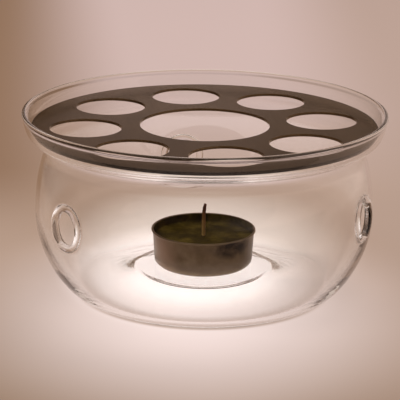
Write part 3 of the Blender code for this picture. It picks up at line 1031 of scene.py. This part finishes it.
def floor_field(tree, coords, path):
    """Tones of the open floor, as painted light and shade: deeper in front and on the left, and paler
    behind and far to the right.
    """
    x, y, z = split_axes(tree, coords)
    along = spread(tree, y, 0.0, 1.0, *FIELD_SPAN)
    field = ramp(tree, along, [(place, srgb(*tone)) for place, tone in FIELD_TONES])
    slant = add_node(tree, "ShaderNodeVectorMath", operation="DOT_PRODUCT")
    slant.inputs[1].default_value = LEFT_SLANT
    tree.links.new(coords.outputs["Object"], slant.inputs[0])
    # painted shade on the left
    left = multiply(tree, ease(tree, slant.outputs["Value"], *LEFT_FADE), ease(tree, y, *LEFT_START))
    field = blend(tree, left, field, srgb(*LEFT_TONE))
    # painted shade on the right
    right = multiply(tree, ease(tree, x, *RIGHT_FADE), RIGHT_SHARE)
    field = blend(tree, right, field, srgb(*RIGHT_TONE))
    # painted shade far to the left, low down
    far_left = ease(tree, x, *FAR_LEFT_FADE)
    low_left = multiply(tree, far_left, ease(tree, z, *FAR_LEFT_DROP))
    field = blend(tree, low_left, field, srgb(*FAR_LEFT_TONE))
    # painted light far to the right
    field = blend(tree, ease(tree, x, *FAR_RIGHT_FADE), field, srgb(*FAR_RIGHT_TONE))
    for outskirts in (far_left, ease(tree, y, *FRONT_FADE)):
        seen_straight = multiply(tree, outskirts, path.outputs["Is Camera Ray"])
        field = blend(tree, seen_straight, field, srgb(*OUTSKIRTS_TONE))
    return field


def floor_light(tree, coords, color):
    """Light under the bowl, and the shade of its standing ring."""
    for centre, scale, fade, share, tone in LIGHT_POOLS:
        near = ease(tree, distance_from(tree, coords, centre, scale), *fade)
        color = blend(tree, multiply(tree, near, share), color, tone)
    _, y, _ = split_axes(tree, coords)
    reach = distance_from(tree, coords, centre=(0.0, 0.0, 0.0), scale=(1.0, 1.0, 1.0))
    inside = ease(tree, reach, *FOOT_SHADE_INSIDE)
    under_foot = multiply(tree, inside, ease(tree, reach, *FOOT_SHADE_OUTSIDE))
    shade = multiply(tree, under_foot, spread(tree, y, *FOOT_SHADE_SHARES, *FOOT_SHADE_SPAN))
    return blend(tree, shade, color, srgb(*FOOT_SHADE_TONE))


def painted_wall_darkness(tree, coords, path, color):
    """Painted darkness on the walls: beside the object for rays through the glass, and high behind it for
    mirrored ones.
    """
    _, y, z = split_axes(tree, coords)
    # painted darkness beside the object, only for rays through the glass
    beside = multiply(tree, ease(tree, z, *SIDE_WALL_RISE), ease(tree, y, *SIDE_WALL_END))
    through = multiply(tree, beside, path.outputs["Is Transmission Ray"])
    color = blend(tree, through, color, srgb(*SIDE_WALL_TONE))
    # painted darkness high behind the object, only for mirrored rays
    behind = multiply(tree, ease(tree, z, *BACK_WALL_RISE), ease(tree, y, *BACK_WALL_START))
    mirrored = multiply(tree, behind, path.outputs["Is Glossy Ray"])
    return blend(tree, mirrored, color, srgb(*BACK_WALL_TONE))


def floor_material():
    """Pale warm floor, brightest under the bowl. Bounced light sees it as plain diffuse."""
    material, tree, shader = new_material("floor")
    tree.nodes.remove(shader)
    coords = tree.nodes.new("ShaderNodeTexCoord")
    path = tree.nodes.new("ShaderNodeLightPath")
    color = floor_field(tree, coords, path)
    color = floor_light(tree, coords, color)
    color = painted_wall_darkness(tree, coords, path, color)

    light = tree.nodes.new("ShaderNodeEmission")
    tree.links.new(color, light.inputs["Color"])
    matte = tree.nodes.new("ShaderNodeBsdfDiffuse")
    tree.links.new(color, matte.inputs["Color"])
    seen = add_node(tree, "ShaderNodeMixShader", fac=FLOOR_MATTE)
    tree.links.new(light.outputs["Emission"], seen.inputs[1])
    tree.links.new(matte.outputs["BSDF"], seen.inputs[2])
    mixed = mix_shaders(tree, backdrop_rays(tree), matte.outputs["BSDF"], seen.outputs["Shader"])
    tree.links.new(mixed, tree.nodes["Material Output"].inputs["Surface"])
    return material


def build_floor():
    """Round floor that sweeps up into a wall."""
    profile = [(0.0, 0.0)] + line_points((FLOOR_MIDDLE, 0.0), (FLOOR_RADIUS, 0.0), count=6)
    profile += arc_points((FLOOR_RADIUS, SWEEP_RADIUS), SWEEP_RADIUS, -90.0, 0.0, count=16)[1:]
    profile.append((FLOOR_RADIUS + SWEEP_RADIUS, SWEEP_TOP))
    floor = mesh_piece("floor", turned_bmesh(profile, FLOOR_STEPS, closed=False), floor_material())
    floor.location.z = -FLOOR_DROP
    floor.rotation_euler.z = CAMERA_AZIMUTH


def card_material():
    """Black felt with a worn nap."""
    material, tree, shader = new_material("card")
    deep = (0.012, 0.01, 0.009)
    wear_and_sheen = (0.02, 0.017, 0.015)
    nap = noise_value(tree, object_coords(tree), scale=30.0, detail=5.0)
    color = ramp(tree, nap, [(0.3, deep), (0.7, wear_and_sheen)])
    tree.links.new(color, shader.inputs["Base Color"])
    shader.inputs["Roughness"].default_value = 0.95
    return material


def build_cards():
    """Black cards: one stands behind the camera, and one lies between it and the object.

    Only mirrored light sees them, so they keep the front of the glass free of reflections.
    """
    turn = Matrix.Rotation(CAMERA_AZIMUTH, 4, "Z")
    upright = Matrix.Rotation(math.radians(90.0), 4, "X")
    material = card_material()
    lying_depth = CARD_BACK - CARD_FRONT
    places = {
        "standing_card": (Matrix.Translation((0.0, -CARD_BACK, CARD_HEIGHT / 2)) @ upright, CARD_HEIGHT),
        "lying_card": (Matrix.Translation((0.0, -CARD_FRONT - lying_depth / 2, CARD_LIFT)), lying_depth),
    }
    for name, (place, depth) in places.items():
        bm = bmesh.new()
        bmesh.ops.create_grid(bm, x_segments=CARD_CELLS, y_segments=CARD_CELLS, size=0.5)
        card = mesh_piece(name, bm, material)
        card.matrix_world = turn @ place @ Matrix.Diagonal((CARD_WIDTH, depth, 1.0, 1.0))
        card.visible_camera = False
        card.visible_diffuse = False
        card.visible_transmission = False
        card.visible_shadow = False


def add_area(name, place, size, power):
    """Soft lamp that shines on the object and isn't seen itself."""
    light = bpy.data.lights.new(name, "AREA")
    light.shape = "RECTANGLE"
    light.size, light.size_y = size
    light.energy = power
    light.color = LAMP_COLOR
    lamp = bpy.data.objects.new(name, light)
    lamp.location = place
    lamp.rotation_euler = (Vector(LAMP_TARGET) - Vector(place)).to_track_quat("-Z", "Y").to_euler()
    lamp.visible_camera = False
    lamp.visible_glossy = False
    lamp.visible_transmission = False
    bpy.context.scene.collection.objects.link(lamp)


def build_light():
    """Dim warm room; the glass and the metal see it as pale as the floor's edge."""
    world = bpy.data.worlds.new("studio")
    world.use_nodes = True
    tree = world.node_tree
    room = tree.nodes["Background"]
    room.inputs["Color"].default_value = ROOM_COLOR
    pale = tree.nodes.new("ShaderNodeBackground")
    pale.inputs["Color"].default_value = PALE_COLOR
    mixed = mix_shaders(tree, backdrop_rays(tree), room.outputs["Background"], pale.outputs["Background"])
    tree.links.new(mixed, tree.nodes["World Output"].inputs["Surface"])
    bpy.context.scene.world = world
    add_area("key", place=(0.25, 0.45, 0.9), size=(0.6, 0.45), power=6.5)
    add_area("fill", place=(-0.75, -0.35, 0.55), size=(0.4, 0.4), power=3.0)


def build_camera():
    """Camera at the photo's viewing angle."""
    level = math.cos(CAMERA_PITCH)
    forward = Vector((math.sin(CAMERA_YAW) * level, math.cos(CAMERA_YAW) * level, -math.sin(CAMERA_PITCH)))
    right = forward.cross(Vector((0.0, 0.0, 1.0))).normalized()
    up = right.cross(forward)
    rolled_right = right * math.cos(CAMERA_ROLL) + up * math.sin(CAMERA_ROLL)
    rolled_up = up * math.cos(CAMERA_ROLL) - right * math.sin(CAMERA_ROLL)
    axes = Matrix((rolled_right, rolled_up, -forward)).transposed().to_4x4()
    stand = Matrix.Translation((0.0, -CAMERA_DISTANCE, CAMERA_HEIGHT))
    data = bpy.data.cameras.new("camera")
    data.lens = CAMERA_LENS
    data.sensor_width = CAMERA_SENSOR
    data.clip_start = CAMERA_CLIP
    camera = bpy.data.objects.new("camera", data)
    camera.matrix_world = Matrix.Rotation(CAMERA_AZIMUTH, 4, "Z") @ stand @ axes
    bpy.context.scene.collection.objects.link(camera)
    bpy.context.scene.camera = camera


bpy.context.scene.view_settings.view_transform = "Standard"
bpy.context.scene.cycles.max_bounces = LIGHT_BOUNCES
bpy.context.scene.cycles.transmission_bounces = LIGHT_BOUNCES
bpy.context.scene.cycles.glossy_bounces = LIGHT_BOUNCES
build_camera()
build_floor()
build_cards()
build_light()
build_bowl()
build_disc()
olive_wax = wax_material()
build_cup(olive_wax)
build_wax(olive_wax)
build_wick()
dress_sustainer()
